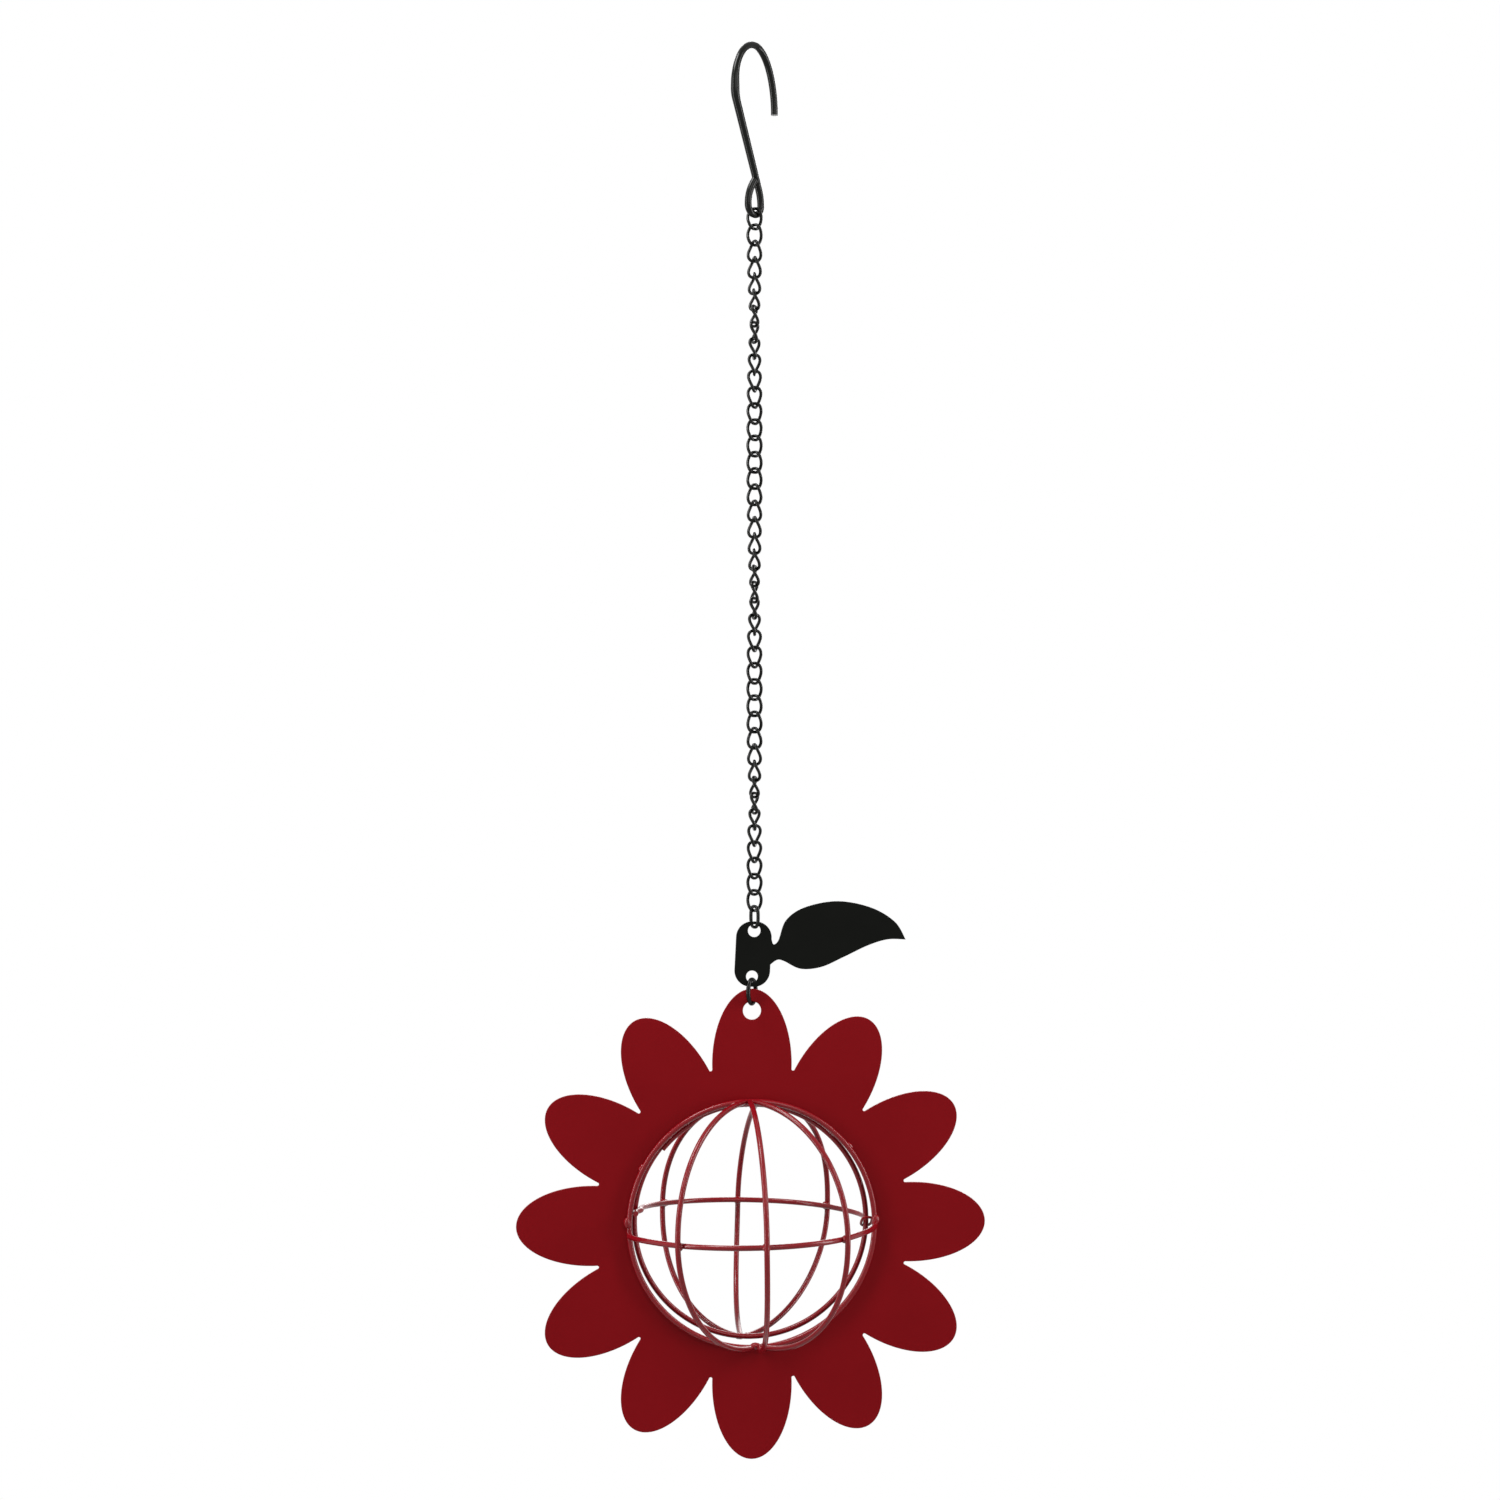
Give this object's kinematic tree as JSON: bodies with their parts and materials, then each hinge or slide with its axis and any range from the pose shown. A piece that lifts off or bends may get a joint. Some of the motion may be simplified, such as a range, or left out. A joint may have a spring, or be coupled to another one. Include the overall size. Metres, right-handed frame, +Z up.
{
  "type": "suet feeder",
  "caption": "hanging suet feeder: steel flower plate with an opening round wire cage for a suet ball, leaf plate, twisted-link chain and wire hook",
  "frame": {"origin": "the inside of the top of the hook's bend, where the feeder bears on what it hangs on", "axes": "+Z up, along the chain; the flower's front faces -Y and its leaf points to +X"},
  "size_m": [0.17, 0.0973, 0.5124],
  "materials": {
    "black_powder_coat": "satin black powder coat on steel",
    "red_powder_coat": "satin deep red powder coat on sheet steel",
    "red_wire_coat": "semi-gloss deep red powder coat on steel wire"
  },
  "bodies": {
    "hook": {"hook": "black_powder_coat"},
    "chain_link_01": {"chain_link_01": "black_powder_coat"},
    "chain_link_02": {"chain_link_02": "black_powder_coat"},
    "chain_link_03": {"chain_link_03": "black_powder_coat"},
    "chain_link_04": {"chain_link_04": "black_powder_coat"},
    "chain_link_05": {"chain_link_05": "black_powder_coat"},
    "chain_link_06": {"chain_link_06": "black_powder_coat"},
    "chain_link_07": {"chain_link_07": "black_powder_coat"},
    "chain_link_08": {"chain_link_08": "black_powder_coat"},
    "chain_link_09": {"chain_link_09": "black_powder_coat"},
    "chain_link_10": {"chain_link_10": "black_powder_coat"},
    "chain_link_11": {"chain_link_11": "black_powder_coat"},
    "chain_link_12": {"chain_link_12": "black_powder_coat"},
    "chain_link_13": {"chain_link_13": "black_powder_coat"},
    "chain_link_14": {"chain_link_14": "black_powder_coat"},
    "chain_link_15": {"chain_link_15": "black_powder_coat"},
    "chain_link_16": {"chain_link_16": "black_powder_coat"},
    "chain_link_17": {"chain_link_17": "black_powder_coat"},
    "chain_link_18": {"chain_link_18": "black_powder_coat"},
    "chain_link_19": {"chain_link_19": "black_powder_coat"},
    "chain_link_20": {"chain_link_20": "black_powder_coat"},
    "chain_link_21": {"chain_link_21": "black_powder_coat"},
    "chain_link_22": {"chain_link_22": "black_powder_coat"},
    "chain_link_23": {"chain_link_23": "black_powder_coat"},
    "chain_link_24": {"chain_link_24": "black_powder_coat"},
    "chain_link_25": {"chain_link_25": "black_powder_coat"},
    "chain_link_26": {"chain_link_26": "black_powder_coat"},
    "chain_link_27": {"chain_link_27": "black_powder_coat"},
    "chain_link_28": {"chain_link_28": "black_powder_coat"},
    "chain_link_29": {"chain_link_29": "black_powder_coat"},
    "chain_link_30": {"chain_link_30": "black_powder_coat"},
    "chain_link_31": {"chain_link_31": "black_powder_coat"},
    "chain_link_32": {"chain_link_32": "black_powder_coat"},
    "chain_link_33": {"chain_link_33": "black_powder_coat"},
    "chain_link_34": {"chain_link_34": "black_powder_coat"},
    "chain_link_35": {"chain_link_35": "black_powder_coat"},
    "chain_link_36": {"chain_link_36": "black_powder_coat"},
    "chain_link_37": {"chain_link_37": "black_powder_coat"},
    "chain_link_38": {"chain_link_38": "black_powder_coat"},
    "chain_link_39": {"chain_link_39": "black_powder_coat"},
    "chain_link_40": {"chain_link_40": "black_powder_coat"},
    "chain_link_41": {"chain_link_41": "black_powder_coat"},
    "chain_link_42": {"chain_link_42": "black_powder_coat"},
    "chain_link_43": {"chain_link_43": "black_powder_coat"},
    "chain_link_44": {"chain_link_44": "black_powder_coat"},
    "leaf": {"leaf_plate": "black_powder_coat"},
    "jump_ring": {"jump_ring": "black_powder_coat"},
    "flower": {"flower_plate": "red_powder_coat", "front_ring": "red_wire_coat", "front_rib_left": "red_wire_coat", "front_rib_centre": "red_wire_coat", "front_rib_right": "red_wire_coat", "front_crossbar": "red_wire_coat", "hinge_loop": "red_wire_coat"},
    "back_half": {"back_ring": "red_wire_coat", "back_rib_left": "red_wire_coat", "back_rib_centre": "red_wire_coat", "back_rib_right": "red_wire_coat", "back_crossbar": "red_wire_coat"}
  },
  "joints": [
    {"name": "chain_swing_01", "type": "hinge", "parent": "hook", "child": "chain_link_01", "pos_m": [0, 0, -0.0599], "axis": [0.7071, 0.7071, 0], "range_deg": [-25, 25]},
    {"name": "chain_swing_02", "type": "hinge", "parent": "chain_link_01", "child": "chain_link_02", "pos_m": [0, 0, -0.06432], "axis": [-0.5728, 0.8197, 0], "range_deg": [-25, 25]},
    {"name": "chain_swing_03", "type": "hinge", "parent": "chain_link_02", "child": "chain_link_03", "pos_m": [0, 0, -0.07019], "axis": [-0.8197, -0.5728, 0], "range_deg": [-25, 25]},
    {"name": "chain_swing_04", "type": "hinge", "parent": "chain_link_03", "child": "chain_link_04", "pos_m": [0, 0, -0.07606], "axis": [0.1576, -0.9875, 0], "range_deg": [-25, 25]},
    {"name": "chain_swing_05", "type": "hinge", "parent": "chain_link_04", "child": "chain_link_05", "pos_m": [0, 0, -0.08193], "axis": [0.9875, 0.1576, 0], "range_deg": [-25, 25]},
    {"name": "chain_swing_06", "type": "hinge", "parent": "chain_link_05", "child": "chain_link_06", "pos_m": [0, 0, -0.0878], "axis": [0.284, 0.9588, 0], "range_deg": [-25, 25]},
    {"name": "chain_swing_07", "type": "hinge", "parent": "chain_link_06", "child": "chain_link_07", "pos_m": [0, 0, -0.09367], "axis": [-0.9588, 0.284, 0], "range_deg": [-25, 25]},
    {"name": "chain_swing_08", "type": "hinge", "parent": "chain_link_07", "child": "chain_link_08", "pos_m": [0, 0, -0.09954], "axis": [-0.6659, -0.7461, 0], "range_deg": [-25, 25]},
    {"name": "chain_swing_09", "type": "hinge", "parent": "chain_link_08", "child": "chain_link_09", "pos_m": [0, 0, -0.10541], "axis": [0.7461, -0.6659, 0], "range_deg": [-25, 25]},
    {"name": "chain_swing_10", "type": "hinge", "parent": "chain_link_09", "child": "chain_link_10", "pos_m": [0, 0, -0.11128], "axis": [0.9184, 0.3956, 0], "range_deg": [-25, 25]},
    {"name": "chain_swing_11", "type": "hinge", "parent": "chain_link_10", "child": "chain_link_11", "pos_m": [0, 0, -0.11715], "axis": [-0.3956, 0.9184, 0], "range_deg": [-25, 25]},
    {"name": "chain_swing_12", "type": "hinge", "parent": "chain_link_11", "child": "chain_link_12", "pos_m": [0, 0, -0.12302], "axis": [-0.9997, 0.0234, 0], "range_deg": [-25, 25]},
    {"name": "chain_swing_13", "type": "hinge", "parent": "chain_link_12", "child": "chain_link_13", "pos_m": [0, 0, -0.12889], "axis": [-0.0234, -0.9997, 0], "range_deg": [-25, 25]},
    {"name": "chain_swing_14", "type": "hinge", "parent": "chain_link_13", "child": "chain_link_14", "pos_m": [0, 0, -0.13476], "axis": [0.901, -0.4339, 0], "range_deg": [-25, 25]},
    {"name": "chain_swing_15", "type": "hinge", "parent": "chain_link_14", "child": "chain_link_15", "pos_m": [0, 0, -0.14063], "axis": [0.4339, 0.901, 0], "range_deg": [-25, 25]},
    {"name": "chain_swing_16", "type": "hinge", "parent": "chain_link_15", "child": "chain_link_16", "pos_m": [0, 0, -0.1465], "axis": [-0.6448, 0.7643, 0], "range_deg": [-25, 25]},
    {"name": "chain_swing_17", "type": "hinge", "parent": "chain_link_16", "child": "chain_link_17", "pos_m": [0, 0, -0.15237], "axis": [-0.7643, -0.6448, 0], "range_deg": [-25, 25]},
    {"name": "chain_swing_18", "type": "hinge", "parent": "chain_link_17", "child": "chain_link_18", "pos_m": [0, 0, -0.15824], "axis": [0.2792, -0.9602, 0], "range_deg": [-25, 25]},
    {"name": "chain_swing_19", "type": "hinge", "parent": "chain_link_18", "child": "chain_link_19", "pos_m": [0, 0, -0.16411], "axis": [0.9602, 0.2792, 0], "range_deg": [-25, 25]},
    {"name": "chain_swing_20", "type": "hinge", "parent": "chain_link_19", "child": "chain_link_20", "pos_m": [0, 0, -0.16998], "axis": [0.1326, 0.9912, 0], "range_deg": [-25, 25]},
    {"name": "chain_swing_21", "type": "hinge", "parent": "chain_link_20", "child": "chain_link_21", "pos_m": [0, 0, -0.17585], "axis": [-0.9912, 0.1326, 0], "range_deg": [-25, 25]},
    {"name": "chain_swing_22", "type": "hinge", "parent": "chain_link_21", "child": "chain_link_22", "pos_m": [0, 0, -0.18172], "axis": [-0.5217, -0.8532, 0], "range_deg": [-25, 25]},
    {"name": "chain_swing_23", "type": "hinge", "parent": "chain_link_22", "child": "chain_link_23", "pos_m": [0, 0, -0.18759], "axis": [0.8532, -0.5217, 0], "range_deg": [-25, 25]},
    {"name": "chain_swing_24", "type": "hinge", "parent": "chain_link_23", "child": "chain_link_24", "pos_m": [0, 0, -0.19346], "axis": [0.8231, 0.5679, 0], "range_deg": [-25, 25]},
    {"name": "chain_swing_25", "type": "hinge", "parent": "chain_link_24", "child": "chain_link_25", "pos_m": [0, 0, -0.19933], "axis": [-0.5679, 0.8231, 0], "range_deg": [-25, 25]},
    {"name": "chain_swing_26", "type": "hinge", "parent": "chain_link_25", "child": "chain_link_26", "pos_m": [0, 0, -0.2052], "axis": [-0.9837, -0.1797, 0], "range_deg": [-25, 25]},
    {"name": "chain_swing_27", "type": "hinge", "parent": "chain_link_26", "child": "chain_link_27", "pos_m": [0, 0, -0.21107], "axis": [0.1797, -0.9837, 0], "range_deg": [-25, 25]},
    {"name": "chain_swing_28", "type": "hinge", "parent": "chain_link_27", "child": "chain_link_28", "pos_m": [0, 0, -0.21694], "axis": [0.9687, -0.2484, 0], "range_deg": [-25, 25]},
    {"name": "chain_swing_29", "type": "hinge", "parent": "chain_link_28", "child": "chain_link_29", "pos_m": [0, 0, -0.22281], "axis": [0.2484, 0.9687, 0], "range_deg": [-25, 25]},
    {"name": "chain_swing_30", "type": "hinge", "parent": "chain_link_29", "child": "chain_link_30", "pos_m": [0, 0, -0.22868], "axis": [-0.7681, 0.6404, 0], "range_deg": [-25, 25]},
    {"name": "chain_swing_31", "type": "hinge", "parent": "chain_link_30", "child": "chain_link_31", "pos_m": [0, 0, -0.23455], "axis": [-0.6404, -0.7681, 0], "range_deg": [-25, 25]},
    {"name": "chain_swing_32", "type": "hinge", "parent": "chain_link_31", "child": "chain_link_32", "pos_m": [0, 0, -0.24042], "axis": [0.404, -0.9147, 0], "range_deg": [-25, 25]},
    {"name": "chain_swing_33", "type": "hinge", "parent": "chain_link_32", "child": "chain_link_33", "pos_m": [0, 0, -0.24629], "axis": [0.9147, 0.404, 0], "range_deg": [-25, 25]},
    {"name": "chain_swing_34", "type": "hinge", "parent": "chain_link_33", "child": "chain_link_34", "pos_m": [0, 0, -0.25216], "axis": [0.0632, 0.998, 0], "range_deg": [-25, 25]},
    {"name": "chain_swing_35", "type": "hinge", "parent": "chain_link_34", "child": "chain_link_35", "pos_m": [0, 0, -0.25803], "axis": [-0.998, 0.0632, 0], "range_deg": [-25, 25]},
    {"name": "chain_swing_36", "type": "hinge", "parent": "chain_link_35", "child": "chain_link_36", "pos_m": [0, 0, -0.2639], "axis": [-0.5345, -0.8452, 0], "range_deg": [-25, 25]},
    {"name": "chain_swing_37", "type": "hinge", "parent": "chain_link_36", "child": "chain_link_37", "pos_m": [0, 0, -0.26977], "axis": [0.8452, -0.5345, 0], "range_deg": [-25, 25]},
    {"name": "chain_swing_38", "type": "hinge", "parent": "chain_link_37", "child": "chain_link_38", "pos_m": [0, 0, -0.27564], "axis": [0.8853, 0.465, 0], "range_deg": [-25, 25]},
    {"name": "chain_swing_39", "type": "hinge", "parent": "chain_link_38", "child": "chain_link_39", "pos_m": [0, 0, -0.28151], "axis": [-0.465, 0.8853, 0], "range_deg": [-25, 25]},
    {"name": "chain_swing_40", "type": "hinge", "parent": "chain_link_39", "child": "chain_link_40", "pos_m": [0, 0, -0.28738], "axis": [-0.9981, 0.0608, 0], "range_deg": [-25, 25]},
    {"name": "chain_swing_41", "type": "hinge", "parent": "chain_link_40", "child": "chain_link_41", "pos_m": [0, 0, -0.29325], "axis": [-0.0608, -0.9981, 0], "range_deg": [-25, 25]},
    {"name": "chain_swing_42", "type": "hinge", "parent": "chain_link_41", "child": "chain_link_42", "pos_m": [0, 0, -0.29912], "axis": [0.8124, -0.583, 0], "range_deg": [-25, 25]},
    {"name": "chain_swing_43", "type": "hinge", "parent": "chain_link_42", "child": "chain_link_43", "pos_m": [0, 0, -0.30499], "axis": [0.583, 0.8124, 0], "range_deg": [-25, 25]},
    {"name": "chain_swing_44", "type": "hinge", "parent": "chain_link_43", "child": "chain_link_44", "pos_m": [0, 0, -0.31086], "axis": [-0.4695, 0.8829, 0], "range_deg": [-25, 25]},
    {"name": "leaf_swing", "type": "hinge", "parent": "chain_link_44", "child": "leaf", "pos_m": [0, 0, -0.31673], "axis": [0, 1, 0], "range_deg": [-25, 25]},
    {"name": "jump_ring_swing", "type": "hinge", "parent": "leaf", "child": "jump_ring", "pos_m": [-0.00093, 0, -0.33736], "axis": [1, 0, 0], "range_deg": [-25, 25]},
    {"name": "flower_swing", "type": "hinge", "parent": "jump_ring", "child": "flower", "pos_m": [-0.00093, 0, -0.34426], "axis": [0, 1, 0], "range_deg": [-15, 15]},
    {"name": "back_half_hinge", "type": "hinge", "parent": "flower", "child": "back_half", "pos_m": [0.04137, 0.0072, -0.42481], "axis": [0, 0, -1], "range_deg": [0, 100]}
  ]
}
